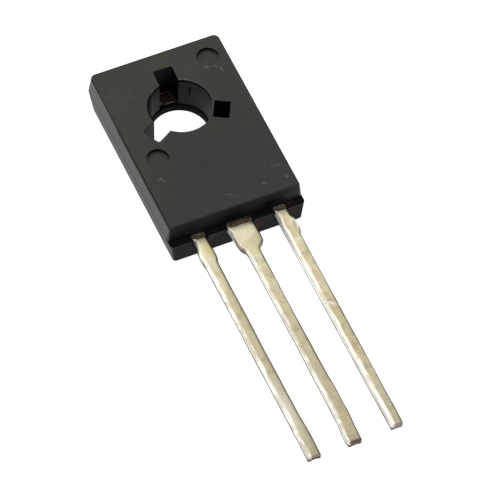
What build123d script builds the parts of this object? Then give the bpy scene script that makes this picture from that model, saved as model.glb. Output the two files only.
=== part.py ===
from build123d import *
from math import radians, tan
import os

# Triac in a flat moulded package with a screw hole and three flat leads, lying on its back.
# Millimetres. Origin: axis of the screw hole, on the back face. +Z comes out of the front face,
# +Y points away from the leads, +X is to the right of someone who reads the front.

# Moulded body: two drafted halves that meet at the parting plane, where the body is largest.
body_width = 7.5
body_length = 11.1
hole_to_top = 3.72          # from the hole's axis to the end without leads, at the parting plane
front_depth = 1.02          # parting plane to the front face
back_depth = 1.48           # back face to the parting plane, which is also the leads' top
front_draft = 7.5           # degrees
back_draft = 5.2            # degrees
back_shift = 0.1            # how far out of line the back half sits, to the right
top_corner_radius = 0.45    # upright corners at the hole's end
lead_corner_radius = 0.2    # and at the lead end
front_edge_radius = 0.05
ledge_length = 0.38         # the back half reaches this much further over the leads

# Screw hole: a slightly tapered core, and a narrower throat where the plastic lines the plate.
throat_dia = 3.1
step_width = 0.05           # ledge at the throat's upper end
step_height = 0.45          # height of that ledge above the back face
bore_taper = 0.15           # the core's gain in diameter from the ledge to the front face
bore_flat = 1.57            # from the axis to the flat beside the closed recess

# Square recesses left by the pins that hold the plate down in the mould, set round the hole.
recess_width = 1.06
recess_reach = 2.55         # from the hole's axis to the outer wall
recess_corner = 0.12        # radius of the pins' outer corners
open_recesses = (89, 209.5) # degrees from +X, of the two that run into the bore
closed_recess = 331.5       # degrees, of the one that keeps its wall
pocket_wall = 0.13          # thickness of that wall

# Round marks of the ejector pins in the front face, on a diagonal through the hole.
ejector_dia = 1.17
ejector_depth = 0.18
ejector_middle = (0.07, -0.12)
ejector_x = 2.49            # half the distance between them, to the right
ejector_y = 2.49            # and away from the leads

# Header: the copper plate whose back is bare, with edges coined so that the moulding grips it.
plate_width = 5.0           # bare width at the back
plate_top_margin = 0.9      # moulding past the plate at the hole's end
plate_lead_margin = 1.48    # and at the lead end
plate_thickness = 0.5
plate_corner = 0.6
plate_draft = 15.0          # degrees, wider towards the front
lining_thickness = 0.17     # plastic between the throat and the plate's own hole

# Leads, all three stamped from one strip and trimmed to one length.
lead_pitch = 2.29
lead_width = 0.68
lead_thickness = 0.5
lead_length = 14.1          # outside the body
lead_shift = 0.1            # the row sits this far off the body's middle
tip_chamfer = 0.1
joggle_length = 0.75        # run of the bend from the plate up to the leads
joggle_radius = 0.25
shoulder_width = 1.4        # centre lead, up to where the tie bar was cut
shoulder_reach = 1.5        # from the body
shoulder_taper = 0.25
stub_width = 0.15           # what the cut tie bar left on one side of each outer lead
gate_stub_start = 0.4       # from the body
post_width = 1.5            # bond post at the inner end of an outer lead
post_length = 1.2
post_gap = 0.3              # from the plate's end to the posts, across the moulding

# Chip, its solder and its two bond wires.
chip_size = 2.2
chip_thickness = 0.25
chip_mesa = 0.06            # bevel round the chip's top
chip_setback = 2.0          # from the plate's lead end to the chip's middle
solder_margin = 0.12
solder_thickness = 0.06
mt1_wire_dia = 0.3
gate_wire_dia = 0.13
mt1_loop = 0.55             # height of the loop above the lead posts
gate_loop = 0.4
wire_clearance = 0.02       # room in the casting round the wires
foot_stretch = 1.6          # a wedge bond is this many wire diameters long,
foot_spread = 1.5           # this many wide
foot_squash = 0.6           # and this many high,
foot_lift = 0.55            # with the wire's middle this many above the pad
foot_butt = 0.3             # share of the foot that lies beyond the round wire's end
rise_share = 0.4            # share of the run to the loop's crest
fall_share = 0.62           # share of the run to where it falls to the second foot
loop_sag = 0.2              # share of the loop's height lost between those two

# Derived places.
thickness = back_depth + front_depth
back_inset = back_depth * tan(radians(back_draft))
step_dia = throat_dia + 2 * step_width
bore_front_dia = step_dia + bore_taper
body_end = body_length - hole_to_top
front_end = body_end - ledge_length
pocket_inner = bore_flat + pocket_wall
plate_top = hole_to_top - plate_top_margin
plate_bottom = body_end - plate_lead_margin
lead_top = back_depth
lead_bottom = lead_top - lead_thickness
tip_y = -(body_end + lead_length)
shoulder_y = -(body_end + shoulder_reach)
post_y = -(plate_bottom - post_gap)
mt1_x = lead_shift - lead_pitch
gate_x = lead_shift + lead_pitch
chip_y = -(plate_bottom - chip_setback)
chip_bottom = plate_thickness + solder_thickness
chip_top = chip_bottom + chip_thickness


def bond_wire(start, end, dia, loop, room=0.0):
    """Bond wire from start to end, two wedge feet and a loop, grown by room on all sides."""
    run = Vector(end[0] - start[0], end[1] - start[1], 0)
    upright = Plane(origin=(start[0], start[1], 0), x_dir=run, z_dir=run.cross(Vector(0, 0, 1)))
    lift = foot_lift * dia
    foot = foot_stretch * dia
    butt = foot_butt * foot - room
    peak = end[2] + loop
    knots = [
        (butt, start[2] + lift),
        (foot, start[2] + lift),
        (rise_share * run.length, peak),
        (fall_share * run.length, peak - loop_sag * loop),
        (run.length - foot, end[2] + lift),
        (run.length - butt, end[2] + lift),
    ]
    with BuildPart() as wire:
        with BuildLine(upright) as path:
            FilletPolyline(*knots, radius=dia)
        with BuildSketch(Plane(path.line @ 0, z_dir=path.line % 0)):
            Circle(dia / 2 + room)
        sweep()
        for place, floor in ((0.0, start[2]), (run.length, end[2])):
            inward = foot / 2 if place == 0.0 else -foot / 2
            with BuildSketch(Plane(upright.from_local_coords((place + inward, floor - room, 0)),
                                   x_dir=run, z_dir=(0, 0, 1))):
                SlotOverall(foot + 2 * room, foot_spread * dia + 2 * room)
            extrude(amount=foot_squash * dia + 2 * room)
    return wire


# Header: plate, joggle and centre lead, one stamped and bent piece of copper.
with BuildPart() as mt2_header:
    with BuildSketch():
        with Locations((0, (plate_top - plate_bottom) / 2)):
            Rectangle(plate_width, plate_top + plate_bottom)
        fillet(vertices(), plate_corner)
    extrude(amount=plate_thickness, taper=-plate_draft)
    with Locations((0, 0, plate_thickness)):
        Hole(throat_dia / 2 + lining_thickness)
    with BuildSketch(Plane.YZ.offset(lead_shift - shoulder_width / 2)):
        with BuildLine():
            FilletPolyline(
                (-plate_bottom + plate_corner, plate_thickness / 2),
                (-plate_bottom, plate_thickness / 2),
                (-plate_bottom - joggle_length, lead_bottom + lead_thickness / 2),
                (shoulder_y, lead_bottom + lead_thickness / 2),
                radius=joggle_radius,
            )
        trace(line_width=lead_thickness)
    extrude(amount=shoulder_width)
    with BuildSketch(Plane((lead_shift, 0, lead_bottom))):
        with BuildLine():
            Polyline(
                (0, shoulder_y),
                (shoulder_width / 2, shoulder_y),
                (lead_width / 2, shoulder_y - shoulder_taper),
                (lead_width / 2, tip_y + tip_chamfer),
                (lead_width / 2 - tip_chamfer, tip_y),
                (0, tip_y),
            )
            mirror(about=Plane.YZ)
        make_face()
    extrude(amount=lead_thickness)


def outer_lead(middle, stub_start):
    """Outer lead about x = middle: bond post, lead, and the cut tie bar's stub on its right."""
    with BuildPart() as lead:
        with BuildSketch(Plane((middle, 0, lead_bottom))):
            with Locations((0, post_y - post_length / 2)):
                Rectangle(post_width, post_length)
            with Locations((0, (post_y + tip_y) / 2)):
                Rectangle(lead_width, post_y - tip_y)
            chamfer(vertices().group_by(Axis.Y)[0], tip_chamfer)
            with BuildLine():
                Polyline(
                    (0, stub_start),
                    (lead_width / 2, stub_start),
                    (lead_width / 2 + stub_width, stub_start - stub_width),
                    (lead_width / 2 + stub_width, shoulder_y),
                    (lead_width / 2, shoulder_y - stub_width),
                    (0, shoulder_y - stub_width),
                    close=True,
                )
            make_face()
        extrude(amount=lead_thickness)
    return lead


mt1_lead = outer_lead(mt1_x, post_y - post_length)
gate_lead = outer_lead(gate_x, -(body_end + gate_stub_start))

# Solder under the chip, spread a little wider at the plate.
with BuildPart() as die_solder:
    with BuildSketch(Plane((0, chip_y, plate_thickness))):
        Rectangle(chip_size + 2 * solder_margin, chip_size + 2 * solder_margin)
    with BuildSketch(Plane((0, chip_y, chip_bottom))):
        Rectangle(chip_size, chip_size)
    loft()

# Chip: a square of silicon with bevelled top edges.
with BuildPart() as triac_chip:
    with BuildSketch(Plane((0, chip_y, chip_bottom))):
        Rectangle(chip_size, chip_size)
    extrude(amount=chip_thickness)
    chamfer(faces().sort_by(Axis.Z)[-1].edges(), chip_mesa)

# Bond wires: a thick one from the chip's middle to MT1, a thin one from the gate's corner.
mt1_route = ((-chip_size / 6, chip_y, chip_top), (mt1_x, post_y - post_length / 2, lead_top))
gate_route = ((chip_size / 3, chip_y - chip_size / 3, chip_top), (gate_x, post_y - post_length / 2, lead_top))
mt1_wire = bond_wire(*mt1_route, mt1_wire_dia, mt1_loop)
gate_wire = bond_wire(*gate_route, gate_wire_dia, gate_loop)
mt1_tunnel = bond_wire(*mt1_route, mt1_wire_dia, mt1_loop, wire_clearance)
gate_tunnel = bond_wire(*gate_route, gate_wire_dia, gate_loop, wire_clearance)



def body_outline(width, top, end, shift=0.0):
    """Sketch of one body half, from the top end's y down to the lead end's."""
    with BuildSketch() as outline:
        with Locations((shift, (top + end) / 2)):
            Rectangle(width, top - end)
        fillet(outline.vertices().group_by(Axis.Y)[-1], top_corner_radius)
        fillet(outline.vertices().group_by(Axis.Y)[0], lead_corner_radius)
    return outline.sketch


# Moulded body: the drafted halves, cast round everything above.
with BuildPart() as moulded_body:
    with BuildSketch():
        add(body_outline(body_width - 2 * back_inset, hole_to_top - back_inset,
                         back_inset - body_end, back_shift))
    with BuildSketch(Plane.XY.offset(back_depth)):
        add(body_outline(body_width, hole_to_top, -body_end))
    loft(ruled=True)
    with BuildSketch(Plane.XY.offset(back_depth)):
        add(body_outline(body_width, hole_to_top, -front_end))
    extrude(amount=front_depth, taper=front_draft)
    fillet(faces().sort_by(Axis.Z)[-1].edges(), front_edge_radius)

    # Screw hole with its step.
    with BuildSketch(Plane.XZ):
        with BuildLine():
            Polyline(
                (0, 0),
                (throat_dia / 2, 0),
                (throat_dia / 2, step_height),
                (step_dia / 2, step_height),
                (bore_front_dia / 2, thickness),
                (0, thickness),
                close=True,
            )
        make_face()
    revolve(axis=Axis.Z, mode=Mode.SUBTRACT)

    # Wall that the closed recess keeps, on the bore's flat.
    with BuildSketch(Plane.XY.offset(step_height)):
        with PolarLocations((bore_flat + pocket_inner) / 2, 1, closed_recess):
            Rectangle(pocket_wall, recess_width + 2 * pocket_wall)
    extrude(amount=thickness - step_height)

    # Core-pin recesses, down to the plate.
    with BuildSketch(Plane.XY.offset(plate_thickness)):
        for angle in open_recesses:
            with PolarLocations(recess_reach / 2, 1, angle):
                RectangleRounded(recess_reach, recess_width, recess_corner)
        with PolarLocations((pocket_inner + recess_reach) / 2, 1, closed_recess):
            RectangleRounded(recess_reach - pocket_inner, recess_width, recess_corner / 2)
    extrude(amount=thickness - plate_thickness, mode=Mode.SUBTRACT)

    # Ejector-pin marks.
    with BuildSketch(Plane.XY.offset(thickness)):
        with Locations(ejector_middle):
            with Locations((ejector_x, ejector_y), (-ejector_x, -ejector_y)):
                Circle(ejector_dia / 2)
    extrude(amount=-ejector_depth, mode=Mode.SUBTRACT)

    # Room for the metal parts, the chip and the wires.
    for inlay in (mt2_header, mt1_lead, gate_lead, die_solder, triac_chip, mt1_tunnel, gate_tunnel):
        add(inlay.part, mode=Mode.SUBTRACT)

pieces = {
    "moulded_body": moulded_body,
    "mt2_header": mt2_header,
    "mt1_lead": mt1_lead,
    "gate_lead": gate_lead,
    "die_solder": die_solder,
    "triac_chip": triac_chip,
    "mt1_wire": mt1_wire,
    "gate_wire": gate_wire,
}
os.makedirs("parts", exist_ok=True)
for name, piece in pieces.items():
    piece.part.label = name
    export_step(piece.part, f"parts/{name}.step")
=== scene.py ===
import bpy
import numpy as np
from mathutils import Matrix, Vector


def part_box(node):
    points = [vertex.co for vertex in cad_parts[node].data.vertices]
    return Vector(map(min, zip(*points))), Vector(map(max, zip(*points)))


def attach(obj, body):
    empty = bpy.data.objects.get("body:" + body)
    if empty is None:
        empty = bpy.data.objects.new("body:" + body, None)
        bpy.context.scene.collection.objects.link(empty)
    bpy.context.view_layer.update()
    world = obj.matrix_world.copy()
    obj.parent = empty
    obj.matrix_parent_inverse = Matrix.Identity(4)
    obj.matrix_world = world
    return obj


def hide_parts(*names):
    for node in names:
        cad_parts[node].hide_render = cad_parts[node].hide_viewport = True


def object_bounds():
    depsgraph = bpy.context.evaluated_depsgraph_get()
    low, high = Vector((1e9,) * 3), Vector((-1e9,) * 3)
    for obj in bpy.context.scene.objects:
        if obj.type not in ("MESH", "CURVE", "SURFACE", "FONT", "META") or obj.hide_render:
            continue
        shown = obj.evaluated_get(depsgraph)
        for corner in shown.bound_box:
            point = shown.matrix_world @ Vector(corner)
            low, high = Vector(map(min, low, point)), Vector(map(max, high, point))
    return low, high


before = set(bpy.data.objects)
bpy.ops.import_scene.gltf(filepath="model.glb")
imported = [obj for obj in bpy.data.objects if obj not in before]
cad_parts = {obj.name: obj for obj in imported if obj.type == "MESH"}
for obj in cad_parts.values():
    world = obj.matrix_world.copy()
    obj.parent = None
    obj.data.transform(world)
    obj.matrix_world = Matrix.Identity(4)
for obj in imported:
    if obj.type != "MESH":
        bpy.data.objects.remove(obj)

MM = 0.001
scene = bpy.context.scene
scene.view_settings.view_transform = "Standard"
cad_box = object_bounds()


# ---- Camera ------------------------------------------------------------------------------------
# A long lens, high above the leads and to their left, so that the front face, the left side and the
# lead end all show. It looks at the middle of the part and is rolled a little, as if held by hand.
view_from_left, view_climb, view_roll = np.radians((27.04, 55.30, 3.53))
view_distance = 226.1 * MM
view_offset = Vector((0.0, 0.061, -0.05)) * MM

toward_camera = Vector((-np.sin(view_from_left) * np.cos(view_climb),
                        -np.cos(view_from_left) * np.cos(view_climb),
                        np.sin(view_climb)))
level_right = Vector((np.cos(view_from_left), -np.sin(view_from_left), 0))
level_up = toward_camera.cross(level_right)
rolled_right = np.cos(view_roll) * level_right + np.sin(view_roll) * level_up
rolled_up = toward_camera.cross(rolled_right)

camera = bpy.data.objects.new("camera", bpy.data.cameras.new("camera"))
scene.collection.objects.link(camera)
camera.data.lens = 320.8
camera.data.sensor_width = 36
camera.data.clip_start = 10 * MM
camera.data.clip_end = 10
part_middle = (Vector(cad_box[0]) + Vector(cad_box[1])) / 2
camera_turn = Matrix((rolled_right, rolled_up, toward_camera)).transposed().to_4x4()
camera.matrix_world = Matrix.Translation(
    part_middle + view_offset + view_distance * toward_camera) @ camera_turn
scene.camera = camera


# ---- Studio ------------------------------------------------------------------------------------
# White paper under the part, and a soft dome, brightest high on the left and dim low on the right
# and in front. The paper is white to the eye and in reflections, and takes the part's shadow.
def step(finish, kind, joins=(), **settings):
    """One step of a finish: a shader node of this kind, with its settings made and its sockets
    filled. A socket takes a plain value, another step, or one output of another step, and a colour
    is written without its alpha."""
    made = finish.node_tree.nodes.new("ShaderNode" + kind)
    for name, value in settings.items():
        setattr(made, name, value)
    for name, value in dict(joins).items():
        socket = made.inputs[name]
        if isinstance(value, bpy.types.Node):
            value = value.outputs[0]
        if isinstance(value, bpy.types.NodeSocket):
            finish.node_tree.links.new(value, socket)
        else:
            socket.default_value = (*value, 1) if socket.type == "RGBA" else value
    return made


def bare_finish(name):
    """A new material with no steps in it yet."""
    finish = bpy.data.materials.new(name)
    finish.use_nodes = True
    finish.node_tree.nodes.clear()
    return finish


def ramp(finish, amount, stops):
    """Colour ramp over an amount, from (place, colour) stops."""
    made = step(finish, "ValToRGB", {"Fac": amount})
    bands = made.color_ramp.elements
    while len(bands) < len(stops):
        bands.new(0.5)
    for band, (place, colour) in zip(bands, stops):
        band.position = place
        band.color = (*colour, 1)
    return made


def between(finish, amount, low, high, low_to=0.0, high_to=1.0):
    """An amount from low to high, carried over to the range low_to to high_to, and held at its
    ends. Low may be the larger of the two."""
    return step(finish, "MapRange", {
        "Value": amount, "From Min": low, "From Max": high, "To Min": low_to, "To Max": high_to})


def calc(finish, operation, first, *others):
    """A sum on one amount, or on several in turn, from the first to the last."""
    if not others:
        return step(finish, "Math", {0: first}, operation=operation)
    for other in others:
        first = step(finish, "Math", {0: first, 1: other}, operation=operation)
    return first


def product(finish, *amounts):
    """The amounts multiplied: how strongly all of them hold at once."""
    return calc(finish, "MULTIPLY", *amounts)


def largest(finish, *amounts):
    """The largest of the amounts: how strongly any of them holds."""
    return calc(finish, "MAXIMUM", *amounts)


def x_y_z(finish, vector):
    """The three parts of a vector, by name."""
    return step(finish, "SeparateXYZ", {"Vector": vector}).outputs


dome = bpy.data.worlds.new("studio_dome")
dome.use_nodes = True
dome.node_tree.nodes.clear()
scene.world = dome
toward = step(dome, "TexCoord").outputs["Generated"]
bright_side = (-0.553, 0.352, 0.755)
near_bright = step(dome, "VectorMath", {0: toward, 1: bright_side}, operation="DOT_PRODUCT")
dome_levels = ((0.45, 0.26), (0.62, 0.46), (0.80, 0.84), (0.90, 1.10))
dome_light = ramp(dome, between(dome, near_bright.outputs["Value"], -1.0, 1.0),
                  [(place, (level, level, level)) for place, level in dome_levels])
front_dimmed = between(dome, x_y_z(dome, toward)["Y"], -0.75, 0.1, 0.75, 1.0)
step(dome, "OutputWorld", {"Surface": step(dome, "Background", {
    "Color": dome_light, "Strength": front_dimmed})})

paper_half = 1500 * MM
paper_drop = 0.01 * MM
paper_glow = 0.88
paper_mesh = bpy.data.meshes.new("paper")
paper_mesh.from_pydata(
    [(x * paper_half, y * paper_half, cad_box[0][2] - paper_drop)
     for x, y in ((-1, -1), (1, -1), (1, 1), (-1, 1))], [], [(0, 1, 2, 3)])
paper = bpy.data.objects.new("paper", paper_mesh)
scene.collection.objects.link(paper)
white_paper = bare_finish("white_paper")
ray = step(white_paper, "LightPath").outputs
seen = largest(white_paper, ray["Is Camera Ray"], ray["Is Glossy Ray"], ray["Is Transmission Ray"])
fibres = step(white_paper, "TexNoise", {
    "Vector": step(white_paper, "TexCoord").outputs["Object"], "Scale": 900.0, "Detail": 4.0})
matt = step(white_paper, "BsdfDiffuse", {
    "Color": ramp(white_paper, fibres, [(0.3, (0.79, 0.79, 0.79)), (0.7, (0.81, 0.81, 0.81))])})
lift = step(white_paper, "Emission", {
    "Color": (1, 1, 1), "Strength": product(white_paper, seen, paper_glow)})
step(white_paper, "OutputMaterial", {"Surface": step(white_paper, "AddShader", {0: matt, 1: lift})})
paper.data.materials.append(white_paper)


# ---- Moulded body ------------------------------------------------------------------------------
# Black filled epoxy, cast round the copper in a two-part mould. The front is matt, the outer sides
# are smoother, and the walls made by the mould's pins and at the lead end are dull, with painted
# shade in deep black on them.
front_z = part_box("moulded_body")[1].z / MM
lead_end_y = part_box("moulded_body")[0].y / MM
parting_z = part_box("mt1_lead")[1].z / MM
pins_half_width = 3.45                   # every wall made by a pin lies inside these three
pins_top_y = 3.41
pins_lead_y = -6.73
front_end_y = -6.78                      # the front half's lead end begins here
bore_edge = 1.745                        # radius at which the bore's rim meets the front
edge_break = 0.035 * MM
epoxy_warm = (0.0370, 0.0350, 0.0170)
epoxy_cool = (0.0165, 0.0165, 0.0125)
# The colour of painted shade, on the walls in shade and along the dark lines.
epoxy_shade = (0.0060, 0.0060, 0.0080)
black = (0, 0, 0)


def in_mm(finish):
    """The place on the part, in millimetres."""
    return step(finish, "Mapping", {
        "Vector": step(finish, "TexCoord").outputs["Object"], "Scale": (1 / MM, 1 / MM, 1 / MM)})


def way_out(finish):
    """The three parts of the way that the surface faces."""
    return x_y_z(finish, step(finish, "TexCoord").outputs["Normal"])


def noise(finish, place, fineness, detail=3.0):
    """Cloudy pattern, with this many blotches to the millimetre."""
    return step(finish, "TexNoise", {"Vector": place, "Scale": fineness, "Detail": detail})


def blend(finish, amount, one, other):
    """A colour that goes from one to the other as the amount goes from 0 to 1. The numbers are the
    places of a Mix step's colour sockets."""
    return step(finish, "Mix", {0: amount, 6: one, 7: other}, data_type="RGBA").outputs[2]


def coats(finish, colour, laid):
    """Colours laid over a first one in turn, from (how strongly, colour) of each."""
    for amount, coat in laid:
        colour = blend(finish, amount, colour, coat)
    return colour


def length_of(finish, vector):
    """The length of a vector."""
    return step(finish, "VectorMath", {0: vector}, operation="LENGTH").outputs["Value"]


def spots(finish, place, marks, half_depth=0.5):
    """How strongly a few oval marks show: most within a fifth of the way out from a mark's middle,
    and fading to nothing just past its edge. A mark is (x, y, z, half length, half width, turn),
    and all of them have the same half depth."""
    shown = [0.0]
    for x, y, z, half_length, half_width, turn in marks:
        from_mark = step(finish, "Mapping", {
            "Vector": place, "Location": (x, y, z), "Rotation": (0, 0, turn),
            "Scale": (half_length, half_width, half_depth)}, vector_type="TEXTURE")
        shown.append(between(finish, length_of(finish, from_mark), 1.3, 0.2))
    return largest(finish, *shown)


epoxy = bare_finish("moulded_epoxy")
place = in_mm(epoxy)
axes = x_y_z(epoxy, place)
facing = way_out(epoxy)
facing_aside = calc(epoxy, "ABSOLUTE", facing["X"])
from_axis = length_of(epoxy, step(epoxy, "CombineXYZ", {"X": axes["X"], "Y": axes["Y"]}))
cloud = noise(epoxy, place, 0.9, 4.0)
grain = noise(epoxy, place, 9.0, 6.0)
speckle = noise(epoxy, place, 24.0, 2.0)

# Walls that the mould's pins made: inside the outline, upright or well below the front, and not
# part of the back.
inside = product(
    epoxy, between(epoxy, calc(epoxy, "ABSOLUTE", axes["X"]),
                   pins_half_width + 0.01, pins_half_width - 0.01),
    between(epoxy, axes["Y"], pins_top_y + 0.01, pins_top_y - 0.01),
    between(epoxy, axes["Y"], pins_lead_y - 0.01, pins_lead_y + 0.01))
off_back = between(epoxy, facing["Z"], -0.80, -0.60)
pin_walls = product(epoxy, inside, off_back, largest(
    epoxy, between(epoxy, facing["Z"], 0.80, 0.60),
    between(epoxy, axes["Z"], front_z - 0.25, front_z - 0.30)))

# Painted shade on the lead end, which is also made duller; both are weaker just above the parting
# line near its right corner.
right_end = between(epoxy, axes["Z"], 1.65, 2.20, 0.3, 0.95)
lead_end_shade = product(
    epoxy, off_back, between(epoxy, axes["Y"], front_end_y + 0.02, front_end_y - 0.02),
    between(epoxy, facing_aside, 0.80, 0.60),
    between(epoxy, axes["Z"], front_z - 0.02, front_z - 0.06),
    largest(epoxy, between(epoxy, axes["X"], 3.0, 2.6, right_end, 1.0),
            between(epoxy, axes["Z"], 1.66, 1.58)))
# All the walls painted with shade: the pins' walls and the lead end.
shaded_walls = largest(epoxy, pin_walls, lead_end_shade)

# Walls painted in the deepest shade, with no gleam at all. Of the pins' walls: those low down,
# those left of the bore, those just under its rim, and those far from it. Of the lead end: the
# ledge's flank and two patches of painted shade.
low_down = between(epoxy, axes["Z"], 0.55, 0.50, 0.42, 0.85)
left_wall = product(epoxy, between(epoxy, from_axis, bore_edge + 0.055, bore_edge - 0.005),
                    between(epoxy, axes["X"], -0.8, -1.2, 0.0, 0.8))
under_rim = product(epoxy, between(epoxy, axes["Z"], front_z - 0.24, front_z - 0.16),
                    between(epoxy, from_axis, bore_edge - 0.025, bore_edge - 0.045))
far_wall = between(epoxy, from_axis, 2.65, 2.75)
below_parting = between(epoxy, axes["Z"], parting_z - 0.04, parting_z - 0.12, 0.0, 0.77)
shade_patches = spots(epoxy, place, (
    (1.95, lead_end_y, 1.90, 0.80, 0.60, 0.0), (-0.20, lead_end_y, 1.85, 1.10, 0.60, 0.0)), 0.40)
# The deepest painted shade, black and without gleam.
deepest_shade = largest(
    epoxy, product(epoxy, pin_walls, largest(epoxy, low_down, left_wall, under_rim, far_wall)),
    product(epoxy, lead_end_shade, largest(
        epoxy, below_parting, between(epoxy, shade_patches, 0.0, 0.5, 0.0, 0.9))))

# Fine dark lines of painted shade: along the line where the mould's halves met, round the outer
# edge of the front, along the left side just below it and at the left of the bore's rim; and a nick
# in the bore's wall, with painted shade in it.
on_side = between(epoxy, facing["Z"], 0.5, 0.3)
from_parting = calc(epoxy, "ABSOLUTE", calc(epoxy, "SUBTRACT", axes["Z"], parting_z))
parting = product(epoxy, between(epoxy, from_parting, 0.055, 0.03), on_side,
                  between(epoxy, inside, 1.0, 0.0))
front_edge = product(
    epoxy, between(epoxy, facing["Z"], 0.25, 0.45), between(epoxy, facing["Z"], 0.995, 0.96),
    between(epoxy, axes["Z"], front_z - 0.12, front_z - 0.09),
    between(epoxy, calc(epoxy, "ABSOLUTE", facing["Y"]), 0.6, 0.4))
side_line = product(
    epoxy, on_side, between(epoxy, axes["Z"], front_z - 0.23, front_z - 0.17),
    between(epoxy, facing["X"], -0.7, -0.9), between(epoxy, axes["Y"], 1.5, -0.5, 0.0, 0.75))
left_rim = product(epoxy, between(epoxy, from_axis, bore_edge + 0.02, bore_edge),
                   between(epoxy, axes["Z"], front_z - 0.10, front_z - 0.06),
                   between(epoxy, axes["X"], -1.05, -1.30))
nick = spots(epoxy, place, ((1.07, 1.27, 1.70, 0.20, 0.05, 0.87),), 0.36)
nick = between(epoxy, nick, 0.15, 0.45)
# All the lines of painted shade together.
shade_lines = largest(epoxy, parting, front_edge, side_line, left_rim, nick)

# Marks on the body: a dusky patch, rubbed spots on the front and bright flecks in the bore. Painted
# light as well: reddish painted reflections of the leads on the lead end beside them, and a painted
# highlight on an arc of the bore's rim.
dusk = spots(epoxy, place, ((0.0, -3.3, front_z, 2.6, 2.2, 0.0),))
rubs = spots(epoxy, place, (
    (2.26, 1.77, front_z, 0.14, 0.11, 0.0), (2.65, 1.68, front_z, 0.18, 0.04, -0.6),
    (2.88, 1.41, front_z, 0.22, 0.06, -1.3), (-2.84, -3.88, front_z, 0.13, 0.10, 0.0),
    (-2.68, -4.05, front_z, 0.08, 0.08, 0.0), (-0.01, -6.12, front_z, 0.17, 0.10, -0.6),
    (0.28, -6.22, front_z, 0.12, 0.05, -0.3), (1.99, -6.14, front_z, 0.22, 0.06, -0.45),
    (2.97, -5.33, front_z, 0.28, 0.09, -0.05), (3.20, -6.17, front_z, 0.20, 0.06, -1.1)))
flecks = spots(epoxy, place, (
    (1.20, 1.13, 1.72, 0.04, 0.05, 0.7), (1.50, 0.62, 1.15, 0.04, 0.05, 0.4)), 0.06)
lead_reflections = spots(epoxy, place, (
    (-2.62, -7.35, 0.80, 0.22, 0.20, 0.0), (-1.55, -7.35, 0.95, 0.16, 0.20, 0.0),
    (1.20, -7.35, 0.90, 0.20, 0.20, 0.0), (3.05, -7.35, 0.75, 0.28, 0.20, 0.0),
    (2.98, -7.08, 1.48, 0.25, 0.14, 0.0)), 0.45)
rim_highlight = product(
    epoxy, between(epoxy, from_axis, bore_edge, bore_edge - 0.02),
    between(epoxy, axes["Z"], front_z - 0.06, front_z - 0.02),
    between(epoxy, calc(epoxy, "ADD", axes["X"], axes["Y"]), 1.2, 1.9),
    between(epoxy, grain, 0.38, 0.55), between(epoxy, axes["X"], 1.2, 0.6, 0.35, 1.0))

outer_side = between(epoxy, facing_aside, 0.6, 0.9)
drift = between(epoxy, noise(epoxy, place, 0.5), 0.3, 0.7, -2.5, 2.5)
warmth = calc(epoxy, "SUBTRACT", calc(epoxy, "ADD", axes["Y"], drift),
              product(epoxy, axes["X"], 0.5))
warm_or_cool = blend(epoxy, between(epoxy, warmth, -5.0, 3.5), epoxy_cool, epoxy_warm)
body_colour = coats(epoxy, warm_or_cool, (
    (between(epoxy, cloud, 0.42, 0.62, 0.0, 0.40), (0.010, 0.010, 0.010)),
    (between(epoxy, grain, 0.50, 0.36, 0.0, 0.55), (0.006, 0.006, 0.006)),
    (between(epoxy, speckle, 0.56, 0.72, 0.0, 0.60), (0.080, 0.078, 0.066)),
    (product(epoxy, dusk, 0.55), (0.0090, 0.0095, 0.0080)),
    (product(epoxy, rubs, between(epoxy, grain, 0.42, 0.58), 0.60), (0.20, 0.21, 0.21)),
    # Painted reflection: the outer sides are made darker and greener.
    (product(epoxy, outer_side, 0.9), (0.008, 0.010, 0.006)),
    # Painted shade on the shaded walls and along the dark lines.
    (largest(epoxy, shaded_walls, shade_lines), epoxy_shade),
    # Painted shade in the nick.
    (nick, (0.001, 0.001, 0.001)),
    (flecks, (0.10, 0.10, 0.11)),
    # Painted reflections of the leads on the lead end.
    (product(epoxy, lead_reflections, between(epoxy, grain, 0.35, 0.60), 0.8), (0.075, 0.032, 0.024)),
    # Painted highlight on the bore's rim.
    (product(epoxy, rim_highlight, 0.8), (0.15, 0.15, 0.14))))
# The gleam: dimmed and tinted green on the outer sides as a painted reflection, and lowered or put
# out where shade is painted.
gleam = coats(epoxy, (1, 1, 1), (
    (outer_side, (0.31, 0.35, 0.25)), (shaded_walls, (0.15, 0.15, 0.19)), (deepest_shade, black), (shade_lines, black)))

softened = step(epoxy, "Bevel", {"Radius": edge_break}, samples=6)
relief = step(epoxy, "Bump", {
    "Height": grain, "Strength": 0.55, "Distance": 0.006 * MM, "Normal": softened})
relief = step(epoxy, "Bump", {
    "Height": nick, "Strength": 0.8, "Distance": 0.04 * MM, "Normal": relief}, invert=True)
roughness = calc(epoxy, "SUBTRACT", between(epoxy, grain, 0.3, 0.7, 0.42, 0.50),
                 product(epoxy, on_side, 0.04))
roughness = calc(epoxy, "ADD", roughness,
                 between(epoxy, axes["Z"], parting_z - 0.05, parting_z, 0.16, 0.0))
roughness = largest(epoxy, roughness, product(epoxy, shade_lines, 0.85), product(epoxy, shaded_walls, 0.58), deepest_shade)
step(epoxy, "OutputMaterial", {"Surface": step(epoxy, "BsdfPrincipled", {
    "Base Color": body_colour, "Roughness": roughness, "IOR": 1.52, "Specular Tint": gleam,
    "Normal": relief})})
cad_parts["moulded_body"].material_slots[0].material = epoxy


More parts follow.
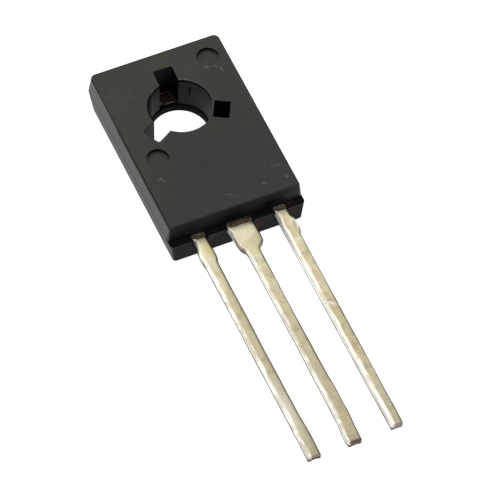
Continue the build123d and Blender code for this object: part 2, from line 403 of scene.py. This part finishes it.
# ---- Header plate ------------------------------------------------------------------------------
# Copper plate that carries the chip and takes its heat to the back. Its edges flare towards the
# front, so the moulding grips it, and only its back, dipped in tin with the leads, is left bare.
plate_low, plate_high = (np.array(corner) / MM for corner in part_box("mt2_header"))
plate_depth = 0.5
plate_flare = np.tan(np.radians(15.0))
plate_half_width = 2.5
plate_top_y = plate_high[1] - plate_depth * plate_flare
plate_foot_y = -5.9
plate_corner = 0.6
plate_hole = 1.72                        # radius
plate_edge_break = 0.03 * MM
strip_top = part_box("mt1_lead")[1].z / MM
tip_y = plate_low[1]
body_end_y = -7.0                        # where the front half of the body ends
bare_strip_y = -7.22                     # where the bare strip beside the body ends
gate_side = (1.2, 1.8)                   # x, from beside the centre lead to beside the gate lead
tin_climb = 0.05                         # how far up the plate's edge the tin reaches
gate_short = 0.11                        # the gate lead ends this much before the others
tin_tones = [                            # from the tips to the body
    (0.00, (0.42, 0.37, 0.25)), (0.10, (0.56, 0.50, 0.34)), (0.35, (0.61, 0.535, 0.35)),
    (0.65, (0.72, 0.645, 0.44)), (0.85, (0.90, 0.83, 0.57)), (1.00, (0.98, 0.90, 0.62))]
gate_tones = [
    (0.07, (0.54, 0.48, 0.35)), (0.25, (0.70, 0.61, 0.44)), (0.43, (0.60, 0.48, 0.28)),
    (0.65, (0.86, 0.75, 0.53)), (0.83, (1.00, 0.87, 0.60)), (1.00, (1.00, 0.90, 0.62))]
# Painted light: white on the left sides beside the body.
lit_white = (0.97, 0.97, 0.95)
# Painted highlight on the upper left edges.
tin_highlight = (0.98, 0.95, 0.88)
tin_bright = (0.76, 0.72, 0.59)
tin_warm = (0.80, 0.74, 0.52)
tin_orange = (0.64, 0.53, 0.30)
tin_gold = (0.76, 0.62, 0.30)
tin_silver = (0.72, 0.69, 0.57)
tin_drab = (0.44, 0.39, 0.24)
tin_shaded = (0.42, 0.38, 0.25)
# Painted shade on the right sides and tips.
tin_shade_grey = (0.27, 0.245, 0.19)
# Painted shade at the foot of the left sides.
tin_foot_shade = (0.04, 0.036, 0.03)
# Left sides' tones: painted reflected light, grey to silver, and painted shade.
side_silver = (0.64, 0.63, 0.59)
side_grey = (0.46, 0.44, 0.39)
side_shade = (0.22, 0.20, 0.15)
copper_brown = (0.08, 0.05, 0.042)
copper_pink = (0.42, 0.34, 0.31)
copper_drab = (0.24, 0.21, 0.165)


def skin(name, points, ends):
    """Mesh over a grid of points in mm: points[i, j] is point j of ring i, each ring closes on
    itself, and quads join each ring to the next. Closed ends take a point each and a fan of
    triangles, and without ends the last ring joins the first."""
    rings, around = points.shape[:2]
    joined = rings if ends is None else rings - 1
    i, j = np.meshgrid(np.arange(joined), np.arange(around), indexing="ij")
    next_i, next_j = (i + 1) % rings, (j + 1) % around
    faces = np.stack([i * around + j, i * around + next_j,
                      next_i * around + next_j, next_i * around + j], -1)
    faces = faces.reshape(-1, 4).tolist()
    places = points.reshape(-1, 3)
    if ends is not None:
        j, next_j = j[0], next_j[0]
        first, last = len(places), len(places) + 1
        tail = (rings - 1) * around
        places = np.concatenate([places, ends])
        faces += np.stack([np.full(around, first), next_j, j], -1).tolist()
        faces += np.stack([np.full(around, last), tail + j, tail + next_j], -1).tolist()
    mesh = bpy.data.meshes.new(name)
    mesh.from_pydata((places * MM).tolist(), [], faces)
    mesh.shade_smooth()
    made = bpy.data.objects.new(name, mesh)
    scene.collection.objects.link(made)
    return made


def mark_bare(piece, amounts):
    """Stores how bare the copper is at each point of a piece, for its finish to read."""
    stored = piece.data.attributes.new("bare_copper", "FLOAT", "POINT")
    stored.data.foreach_set("value", np.asarray(amounts, np.float32))


def plate_outline(count):
    """Rounded rectangle: a quarter circle about each corner's centre, the four joined by straight
    runs, then taken at equal steps along its whole length. The directions stand a hair off the
    axes, so that each belongs to one corner. Returns the points and the way out at each."""
    turn = np.radians(np.arange(0, 360, 7.5)) + 1e-6
    middle_y = (plate_top_y + plate_foot_y) / 2
    reach = np.array((plate_half_width, (plate_top_y - plate_foot_y) / 2)) - plate_corner
    way = np.stack([np.cos(turn), np.sin(turn)], 1)
    corners = reach * np.sign(way) + plate_corner * way
    corners = np.concatenate([corners, corners[:1]])
    along = np.concatenate([[0], np.cumsum(np.hypot(*np.diff(corners, axis=0).T))])
    at = np.linspace(0, along[-1], count, endpoint=False)
    outline = np.stack([np.interp(at, along, corners[:, k]) for k in (0, 1)], 1)
    outward = np.stack([np.interp(at, along, np.append(way[:, k], way[0, k])) for k in (0, 1)], 1)
    outward /= np.hypot(*outward.T)[:, None]
    return outline + (0, middle_y), outward


# Each point of the outline carries one closed section, as (share of the way from the hole's rim to
# the outer edge, depth): along the back, up the edge, back along the front, and down the hole.
outline, outward = plate_outline(count=240)
hole_rim = plate_hole * outline / np.hypot(*outline.T)[:, None]
share = np.linspace(0, 1, 9)
back_run = [(f, 0.0) for f in share]
edge_run = [(1.0, z) for z in np.linspace(0, plate_depth, 6)[1:]]
front_run = [(f, plate_depth) for f in share[::-1][1:]]
hole_run = [(0.0, z) for z in np.linspace(plate_depth, 0, 4)[1:-1]]
section = np.array(back_run + edge_run + front_run + hole_run)
outer = outline[:, None] + outward[:, None] * plate_flare * section[None, :, 1:2]
flat = hole_rim[:, None] + section[None, :, 0:1] * (outer - hole_rim[:, None])
depth = np.broadcast_to(section[None, :, 1:2], flat.shape[:2] + (1,))
plate_points = np.concatenate([flat, depth], -1)[:, ::-1]
plate = skin("header_plate", plate_points, None)
plate.data.set_sharp_from_angle(angle=np.radians(35))
broken_edges = plate.modifiers.new("broken_edges", "BEVEL")
broken_edges.width = plate_edge_break
broken_edges.segments = 2
broken_edges.angle_limit = np.radians(40)

# The copper strip's finish, for the plate and all three leads. The tin is yellow and bright near
# the body and duller towards the tips, with warm streaks, silver flecks and drab patches.
tin = bare_finish("hot_dipped_tin")
place = in_mm(tin)
axes = x_y_z(tin, place)
facing = way_out(tin)
stretched = step(tin, "Mapping", {"Vector": place, "Scale": (1.0, 0.35, 1.0)})
streak = noise(tin, stretched, 2.2, 4.0)
blob = noise(tin, stretched, 3.4, 2.0)
ripples = noise(tin, stretched, 1.6, 2.0)
mist = noise(tin, place, 1.1)
fleck = noise(tin, place, 7.0)
grit = noise(tin, place, 18.0, 4.0)
mottle = noise(tin, place, 2.0, 5.0)

outside = between(tin, axes["Y"], body_end_y + 0.1, body_end_y)
to_root = between(tin, axes["Y"], -21.5, body_end_y)
on_gate = between(tin, axes["X"], *gate_side)
off_gate = between(tin, axes["X"], *gate_side[::-1])
on_centre = product(tin, between(tin, axes["X"], -1.2, -0.8), off_gate)
from_tip = calc(tin, "SUBTRACT", axes["Y"],
                between(tin, axes["X"], *gate_side, tip_y, tip_y + gate_short))
orange = calc(tin, "ADD", mist, between(tin, axes["X"], 1.0, 2.0, 0.0, 0.06))
drab = product(tin, between(tin, mottle, 0.50, 0.34),
               between(tin, axes["Y"], -8.5, -10.5, 0.1, 0.6))
bright_run = spots(tin, place, ((-2.2, -18.3, strip_top, 0.6, 2.0, 0.0),), 0.4)

# Left sides, painted with light and shade: grey to silver reflected light, painted shade beside the
# body on the left and centre leads, and white painted light along the gate lead's first five
# millimetres and at the root of the centre lead's shoulder.
left = product(tin, between(tin, facing["X"], -0.55, -0.90), outside)
centre_root = product(tin, between(tin, axes["Y"], -8.20, -7.95), on_centre)
left_side_light = coats(
    tin, blend(tin, between(tin, axes["X"], -2.4, -0.5), side_grey, side_silver), (
        (product(tin, between(tin, axes["Y"], -13.5, -12.0), on_gate), lit_white),
        (product(tin, between(tin, axes["Y"], -9.1, -8.8), off_gate), side_shade),
        (centre_root, lit_white)))

# Edges, painted with light and shade: pale highlight blobs along the upper left ones, a band of
# painted shade down the right half of the left lead, grey painted shade on the right sides and
# tips, and a dark line of painted shade at the foot of the left ones.
edge_highlight = product(
    tin, between(tin, facing["X"], -0.06, -0.26),
    between(tin, axes["Z"], strip_top - 0.17, strip_top - 0.12),
    between(tin, calc(tin, "ADD", blob, between(tin, axes["X"], 0.5, 2.0, 0.0, 0.08)),
            0.44, 0.54, 0.25, 1.0))
shaded = product(tin, between(tin, axes["X"], -2.20, -1.80),
                 between(tin, axes["X"], -1.6, -1.7, 0.0, 0.55), outside)
right_turned = product(tin, facing["X"], between(tin, axes["X"], -1.6, -1.0, 0.48, 1.0))
grey_shade = product(tin, outside, largest(
    tin, between(tin, right_turned, 0.03, 0.45),
    product(tin, between(tin, facing["Y"], -0.20, -0.55), between(tin, from_tip, 0.15, 0.25))))
foot_height = largest(
    tin, product(tin, between(tin, axes["Z"], strip_top - 0.16, strip_top - 0.21), off_gate,
                 calc(tin, "SUBTRACT", 1.0, centre_root)),
    product(tin, between(tin, axes["Z"], strip_top - 0.20, strip_top - 0.25), on_gate))
foot_shade = product(tin, between(tin, facing["X"], -0.20, -0.40), foot_height, outside)

# Golden patches beside the body, and on the gate lead painted shade in a crease and painted glints.
golden = spots(tin, place, (
    (-2.02, -8.20, strip_top, 0.26, 0.55, 0.0), (0.33, -9.00, strip_top, 0.20, 0.50, 0.0)), 0.3)
crease_shade = spots(tin, place, ((2.63, -8.45, strip_top, 0.36, 0.04, 1.62),), 0.3)
glints = spots(tin, place, (
    (2.68, -8.08, strip_top, 0.13, 0.10, 0.6), (2.75, -8.52, strip_top, 0.34, 0.055, 1.60),
    (2.36, -13.52, strip_top, 0.38, 0.10, -0.74)), 0.3)

# Bare metal: where the mesh says so, in a ragged strip beside the body with a brown hem, and on the
# cut tips. Pale lines on the plate beyond the hole are painted highlights on the copper.
inner_bare = step(tin, "Attribute", attribute_name="bare_copper").outputs["Fac"]
ragged = calc(tin, "ADD", axes["Y"], between(tin, fleck, 0.3, 0.7, -0.07, 0.07))
root = product(tin, between(tin, ragged, bare_strip_y - 0.08, bare_strip_y + 0.08),
               calc(tin, "GREATER_THAN", axes["Z"], tin_climb))
hem = product(tin, between(tin, ragged, bare_strip_y - 0.06, bare_strip_y - 0.02),
              between(tin, ragged, bare_strip_y + 0.06, bare_strip_y + 0.02))
root_colour = blend(tin, between(tin, calc(tin, "ABSOLUTE", axes["X"]), 1.0, 1.6),
                    copper_drab, copper_pink)
root_colour = blend(tin, between(tin, fleck, 0.40, 0.62), root_colour, (0.06, 0.05, 0.042))
rust = blend(tin, between(tin, grit, 0.4, 0.6), copper_brown, (0.045, 0.024, 0.022))
copper_highlights = spots(tin, place, (
    (-0.10, 2.46, plate_depth, 0.40, 0.035, 0.0), (0.42, 2.10, plate_depth, 0.36, 0.02, 1.70),
    (0.12, 1.73, plate_depth, 0.26, 0.045, 0.05), (-0.34, 1.86, plate_depth, 0.16, 0.07, 0.3)), 0.1)
bare = largest(tin, inner_bare, root)
dull_tip = between(tin, from_tip, 0.13, 0.05, 0.0, 0.75)
tip_colour = blend(tin, on_gate, (0.075, 0.045, 0.035), (0.34, 0.27, 0.25))
burnt = product(tin, between(tin, from_tip, 0.15, 0.11), between(tin, facing["X"], -0.5, -0.3),
                on_centre, 0.8)

along_lead = blend(tin, product(tin, on_gate, 0.85), ramp(tin, to_root, tin_tones),
                   ramp(tin, to_root, gate_tones))
tin_colour = coats(tin, along_lead, (
    (between(tin, orange, 0.45, 0.66, 0.0, 0.7), tin_orange),
    (between(tin, streak, 0.50, 0.72, 0.0, 0.5), tin_warm),
    (between(tin, fleck, 0.52, 0.70, 0.0, 0.5), tin_silver),
    (drab, tin_drab),
    (product(tin, bright_run, 0.8), tin_bright),
    # Painted light and shade on the left sides.
    (left, left_side_light),
    # Painted highlights along the upper left edges.
    (edge_highlight, tin_highlight),
    (shaded, tin_shaded),
    # Painted shade on the right sides and tips.
    (grey_shade, tin_shade_grey),
    (product(tin, golden, 0.75), tin_gold),
    # Painted shade in the crease.
    (product(tin, crease_shade, 0.7), (0.28, 0.22, 0.11)),
    # Painted glints.
    (product(tin, glints, 0.9), (1.0, 0.97, 0.82)),
    # Painted shade at the foot of the left sides.
    (foot_shade, tin_foot_shade),
    (root, root_colour),
    (product(tin, hem, 0.7), (0.32, 0.19, 0.07)),
    (inner_bare, rust),
    # Painted highlights on the copper plate.
    (product(tin, copper_highlights, between(tin, grit, 0.35, 0.55)), (0.62, 0.50, 0.47)),
    (product(tin, bare, dull_tip), tip_colour),
    (burnt, (0.14, 0.075, 0.055))))

# The tips and the left sides beside the body that carry white painted light are dull, and the rest
# is bare or tinned metal.
lit_white_sides = product(tin, left, largest(
    tin, product(tin, on_gate, between(tin, axes["Y"], -10.6, -9.6, 0.0, 0.7)),
    product(tin, centre_root, 0.8)))
metal = calc(tin, "SUBTRACT", 1.0, largest(tin, dull_tip, lit_white_sides))
roughness = calc(tin, "ADD", between(tin, streak, 0.3, 0.7, 0.26, 0.36), product(tin, bare, 0.18))
relief = step(tin, "Bump", {"Height": ripples, "Strength": 0.5, "Distance": 0.03 * MM})
relief = step(tin, "Bump", {
    "Height": grit, "Strength": 0.4, "Distance": 0.003 * MM, "Normal": relief})
step(tin, "OutputMaterial", {"Surface": step(tin, "BsdfPrincipled", {
    "Base Color": tin_colour, "Metallic": metal, "Roughness": roughness, "Normal": relief})})

mark_bare(plate, np.clip(plate_points[..., 2].ravel() / tin_climb, 0, 1))
plate.data.materials.append(tin)
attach(plate, "root")
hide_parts("mt2_header")


# ---- Centre lead -------------------------------------------------------------------------------
# MT2's lead is one piece with the plate: it rises through a joggle, leaves the body as a wide
# shoulder and narrows where the tie bar was cut. Tin rounds its edges outside the body.
strip_half = 0.25
strip_mid = strip_top - strip_half
bare_to_y = body_end_y + 0.05            # the metal is bare from the inner end to here
tin_starts_y = body_end_y - 0.28
tin_builds_over = 0.05
tin_coat = 0.02
tin_waves = 0.012
edge_grows_y = -16.5                     # from here the left edge grows rounder towards the tip
edge_grows_over = 2.5
edge_growth = 0.05
stamped_round = 0.02                     # corners of the bare strip
under_rounds = (0.16, 0.10)              # corners of the tin below, left and right
tip_round = 0.09
notch_reach = 0.12                       # how far back from the tip its underside is drawn up
cut_rings = (1.0, 0.97, 0.5)             # rings on the cut, as shares of its outline
plate_mid = plate_depth / 2
joggle_stations = 400
bend_reach = 3                           # stations each side that the bends are smoothed over
end_stations = 8


def smooth(values, reach):
    """Running mean over reach stations each side, taken twice, with the ends held."""
    kernel = np.ones(2 * reach + 1) / (2 * reach + 1)
    for _ in range(2):
        values = np.convolve(np.pad(values, reach, mode="edge"), kernel, mode="valid")
    return values


def lead_section(half_width, half_height, radii):
    """Rounded rectangle, counterclockwise from its right side's top corner. Each corner is a
    quarter circle about its own centre, seven points to a corner, and four more points divide each
    side between two corners. Returns the points and the way out at each, for every station."""
    corners, corner_ways = [], []
    for k, (side_x, side_z) in enumerate(((1, 1), (-1, 1), (-1, -1), (1, -1))):
        turn = np.radians(90 * k + np.linspace(0, 90, 7))
        way = np.stack([np.cos(turn), np.sin(turn)], -1)
        centre = np.stack([side_x * (half_width - radii[k]), side_z * (half_height - radii[k])], -1)
        corners.append(centre[:, None] + radii[k][:, None, None] * way)
        corner_ways.append(np.broadcast_to(way, corners[-1].shape))
    points, ways = [], []
    share = np.linspace(0, 1, 6)[None, 1:-1, None]
    for k in range(4):
        first, last = corners[k][:, -1:], corners[(k + 1) % 4][:, :1]
        points += [corners[k], first + share * (last - first)]
        ways += [corner_ways[k], np.broadcast_to(corner_ways[k][:, -1:], points[-1].shape)]
    return np.concatenate(points, 1), np.concatenate(ways, 1)


def lead_rings(path_y, path_z, left, right, rounds, seed, notch, lumps):
    """A rounded rectangle carried along a path in the YZ plane, set square to it. Inside the body
    the corners are sharp. Outside, slow sine waves swell the tin, the top corners take the radii
    in rounds, right and left, and the left one wanders and grows towards the tip. The last
    stations draw in along a quarter circle, and a flat cut closes the tip, its underside drawn up
    in the middle by the notch's height. A lump is (y, way out in degrees, reach along y, reach in
    degrees, height), and falls off as a bell curve. Returns the rings, the middles of the two
    ends, and how bare each point is."""
    rng = np.random.default_rng(seed)
    step_y, step_z = np.gradient(path_y), np.gradient(path_z)
    length = np.hypot(step_y, step_z)
    step_y, step_z = step_y / length, step_z / length
    along = np.concatenate([[0], np.cumsum(np.hypot(np.diff(path_y), np.diff(path_z)))])
    to_tip = along[-1] - along

    outside = np.clip((tin_starts_y - path_y) / tin_builds_over, 0, 1)
    wander = np.sin(2.1 * along + seed) + 0.6 * np.sin(5.3 * along + 2 * seed)
    grown = np.clip((edge_grows_y - path_y) / edge_grows_over, 0, 1)
    tin_rounds = (rounds[0], rounds[1] + 0.02 * wander + edge_growth * grown, *under_rounds)
    radii = [stamped_round + outside * (tin_round - stamped_round) for tin_round in tin_rounds]
    section, way = lead_section((right - left) / 2, strip_half, radii)

    turn = np.arctan2(way[..., 1], way[..., 0])
    swell = np.zeros(turn.shape)
    for wave in (0.9, 1.7, 2.9, 4.6, 7.3):
        lean, start = rng.integers(1, 4), rng.uniform(0, 2 * np.pi, 2)
        ripple = np.sin(wave * along[:, None] + start[0]) * np.sin(lean * turn + start[1])
        swell += ripple / (1 + wave)
    swell = outside[:, None] * tin_waves * swell - tin_coat * (1 - outside[:, None])
    for y, angle, reach_y, reach_turn, high in lumps:
        apart = np.degrees(np.angle(np.exp(1j * (turn - np.radians(angle))))) / reach_turn
        swell = swell + high * np.exp(-((path_y[:, None] - y) / reach_y) ** 2 - apart ** 2)
    draw_in = np.clip((tip_round - to_tip) / tip_round, 0, 1)
    draw_in = tip_round * (1 - np.sqrt(1 - draw_in ** 2))[:, None]
    section = section + (swell - draw_in)[..., None] * way
    near_middle = np.clip(1 - (2 * section[..., 0] / (right - left)[:, None]) ** 2, 0, 1)
    near_tip = np.exp(-(to_tip / notch_reach) ** 2)[:, None]
    section[..., 1] += notch * near_tip * near_middle * (section[..., 1] < 0)

    middles = np.stack([(left + right) / 2, path_y, path_z], -1)
    rings = middles[:, None] + np.stack([
        section[..., 0], step_z[:, None] * section[..., 1], -step_y[:, None] * section[..., 1]], -1)
    cut = middles[-1] + (rings[-1] - middles[-1]) * np.array(cut_rings)[:, None, None]
    rings = np.concatenate([rings, cut])
    bare = np.broadcast_to((path_y > bare_to_y)[:, None] * 1.0, turn.shape)
    bare = np.concatenate([bare, np.array((0.0, 1.0, 1.0))[:, None] * np.ones(turn.shape[1])])
    return rings, (middles[0], middles[-1]), bare


def make_lead(name, path_y, path_z, edges, node, rounds, seed, notch, lumps=()):
    """A lead from its path and its edges, a row of (y, left x, right x) stations from the inner end
    to the tip, smoothed between them."""
    y, left, right = np.array(edges).T
    left = smooth(np.interp(-path_y, -y, left), 1)
    right = smooth(np.interp(-path_y, -y, right), 1)
    rings, ends, bare = lead_rings(path_y, path_z, left, right, rounds, seed, notch, lumps)
    lead = skin(name, rings, ends)
    lead.data.set_sharp_from_angle(angle=np.radians(50))
    mark_bare(lead, np.append(bare.ravel(), (1, 1)))
    lead.data.materials.append(tin)
    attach(lead, "root")
    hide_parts(node)


# The joggle's path, smoothed at its bends. Smoothing stops it short, so its end is spread again.
joggle = np.array(((-5.30, plate_mid), (-5.90, plate_mid), (-6.65, strip_mid), (tip_y, strip_mid)))
run = np.concatenate([[0], np.cumsum(np.hypot(*np.diff(joggle, axis=0).T))])
at = np.linspace(0, run[-1], joggle_stations)
joggle_y = smooth(np.interp(at, run, joggle[:, 0]), bend_reach)
joggle_z = smooth(np.interp(at, run, joggle[:, 1]), bend_reach)
joggle_y[-end_stations:] = np.linspace(joggle_y[-end_stations], tip_y, end_stations)
make_lead("centre_lead", joggle_y, joggle_z, (
    (-5.30, -0.60, 0.80), (-7.38, -0.60, 0.80), (-7.55, -0.56, 0.83), (-8.33, -0.52, 0.85),
    (-8.68, -0.46, 0.82), (-8.93, -0.28, 0.50), (-9.18, -0.24, 0.46), (-12.0, -0.24, 0.43),
    (-15.0, -0.25, 0.43), (-17.4, -0.28, 0.45), (-18.3, -0.28, 0.48), (-19.0, -0.29, 0.46),
    (-19.9, -0.30, 0.48), (-20.4, -0.33, 0.44), (-21.1, -0.38, 0.41), (-21.48, -0.34, 0.40)),
    "mt2_header", rounds=(0.11, 0.155), seed=3, notch=0.12)


# ---- Outer leads -------------------------------------------------------------------------------
# MT1 on the left and the gate on the right, stamped from the same strip. Each starts as a wide bond
# post inside the moulding and keeps the stub of the tie bar on its right side.
post_end_y = -5.6
stations = 380
straight_z = np.full(stations, strip_mid)
make_lead("mt1_lead_tinned", np.linspace(post_end_y, tip_y, stations), straight_z, (
    (-5.60, -2.94, -1.44), (-6.76, -2.94, -1.44), (-6.84, -2.53, -1.76), (-7.80, -2.53, -1.75),
    (-8.30, -2.57, -1.73), (-8.72, -2.57, -1.73), (-8.98, -2.53, -1.83), (-18.8, -2.52, -1.84),
    (-20.2, -2.54, -1.79), (-21.48, -2.54, -1.80)),
    "mt1_lead", rounds=(0.16, 0.185), seed=5, notch=0.14)
make_lead("gate_lead_tinned", np.linspace(post_end_y, tip_y + gate_short, stations), straight_z, (
    (-5.60, 1.64, 3.14), (-6.76, 1.64, 3.14), (-6.84, 2.03, 2.73), (-7.80, 2.03, 2.73),
    (-8.02, 2.02, 2.84), (-8.74, 2.02, 2.86), (-9.02, 2.02, 2.74), (-10.3, 2.02, 2.73),
    (-17.5, 2.02, 2.71), (-21.48, 2.03, 2.70)),
    "gate_lead", rounds=(0.10, 0.235), seed=8, notch=0.04, lumps=(
        (-8.35, 45, 0.30, 22, 0.05), (-8.35, 80, 0.25, 14, -0.03), (-13.5, 90, 0.10, 60, 0.03)))


# ---- Solder ------------------------------------------------------------------------------------
# Soft solder that holds the chip to the plate and carries its current and heat. It was melted in
# place, and its flanks spread a little past the chip.
solder = bare_finish("soft_solder")
place = in_mm(solder)
frost = noise(solder, place, 14.0, 5.0)
crystals = step(solder, "TexVoronoi", {"Vector": place, "Scale": 9.0})
step(solder, "OutputMaterial", {"Surface": step(solder, "BsdfPrincipled", {
    "Base Color": blend(solder, between(solder, frost, 0.3, 0.7),
                        (0.50, 0.50, 0.51), (0.68, 0.68, 0.67)),
    "Metallic": 1.0, "Roughness": between(solder, frost, 0.3, 0.7, 0.38, 0.55),
    "Normal": step(solder, "Bump", {
        "Height": crystals, "Strength": 0.4, "Distance": 0.004 * MM})})})
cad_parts["die_solder"].material_slots[0].material = solder


# ---- Chip --------------------------------------------------------------------------------------
# Square of silicon with a bevelled, glass-covered rim. Its top is metal: MT1's wide field, and the
# gate's small pad in the corner nearest the gate lead.
chip_low, chip_high = (np.array(corner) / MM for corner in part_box("triac_chip"))
chip_middle = (chip_low + chip_high) / 2
top_starts_z = 0.10                      # above the chip's middle
field_half = 0.90
gap_middle, gap_half = (0.70, -0.70), 0.36
pad_middle, pad_half = (0.68, -0.68), 0.22


def inside_square(finish, axes, middle, half):
    """1 inside the square of this middle and half width, 0 outside."""
    far_x = calc(finish, "ABSOLUTE", calc(finish, "SUBTRACT", axes["X"], middle[0]))
    far_y = calc(finish, "ABSOLUTE", calc(finish, "SUBTRACT", axes["Y"], middle[1]))
    return calc(finish, "LESS_THAN", largest(finish, far_x, far_y), half)


silicon = bare_finish("silicon_chip")
place = in_mm(silicon)
on_chip = x_y_z(silicon, step(silicon, "VectorMath", {
    0: place, 1: tuple(chip_middle)}, operation="SUBTRACT"))
field = inside_square(silicon, on_chip, (0, 0), field_half)
gate_gap = inside_square(silicon, on_chip, gap_middle, gap_half)
gate_pad = inside_square(silicon, on_chip, pad_middle, pad_half)
metal_top = product(silicon, calc(silicon, "GREATER_THAN", on_chip["Z"], top_starts_z), largest(
    silicon, calc(silicon, "SUBTRACT", field, gate_gap), gate_pad))
pad_grain = noise(silicon, place, 30.0, 4.0)
glass = blend(silicon, between(silicon, noise(silicon, place, 3.0), 0.3, 0.7),
              (0.10, 0.13, 0.20), (0.16, 0.15, 0.24))
pads = blend(silicon, between(silicon, pad_grain, 0.3, 0.7), (0.72, 0.72, 0.73), (0.84, 0.84, 0.85))
step(silicon, "OutputMaterial", {"Surface": step(silicon, "BsdfPrincipled", {
    "Base Color": blend(silicon, metal_top, glass, pads), "Metallic": metal_top,
    "Roughness": between(silicon, pad_grain, 0.3, 0.7, 0.16, 0.34),
    "Normal": step(silicon, "Bump", {
        "Height": metal_top, "Strength": 0.6, "Distance": 0.004 * MM})})})
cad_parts["triac_chip"].material_slots[0].material = silicon


# ---- Bond wires --------------------------------------------------------------------------------
# Soft aluminium wire, pressed flat and welded by ultrasound at both feet: thick from MT1's field to
# its post, thin from the gate's pad to the gate post.
bond_aluminium = bare_finish("bond_wire_aluminium")
drawn = noise(bond_aluminium, in_mm(bond_aluminium), 22.0, 5.0)
wire_colour = blend(bond_aluminium, between(bond_aluminium, drawn, 0.3, 0.7),
                    (0.74, 0.74, 0.76), (0.88, 0.88, 0.89))
step(bond_aluminium, "OutputMaterial", {"Surface": step(bond_aluminium, "BsdfPrincipled", {
    "Base Color": wire_colour, "Metallic": 1.0,
    "Roughness": between(bond_aluminium, drawn, 0.3, 0.7, 0.20, 0.36),
    "Normal": step(bond_aluminium, "Bump", {
        "Height": drawn, "Strength": 0.5, "Distance": 0.003 * MM})})})
for wire in ("mt1_wire", "gate_wire"):
    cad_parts[wire].material_slots[0].material = bond_aluminium
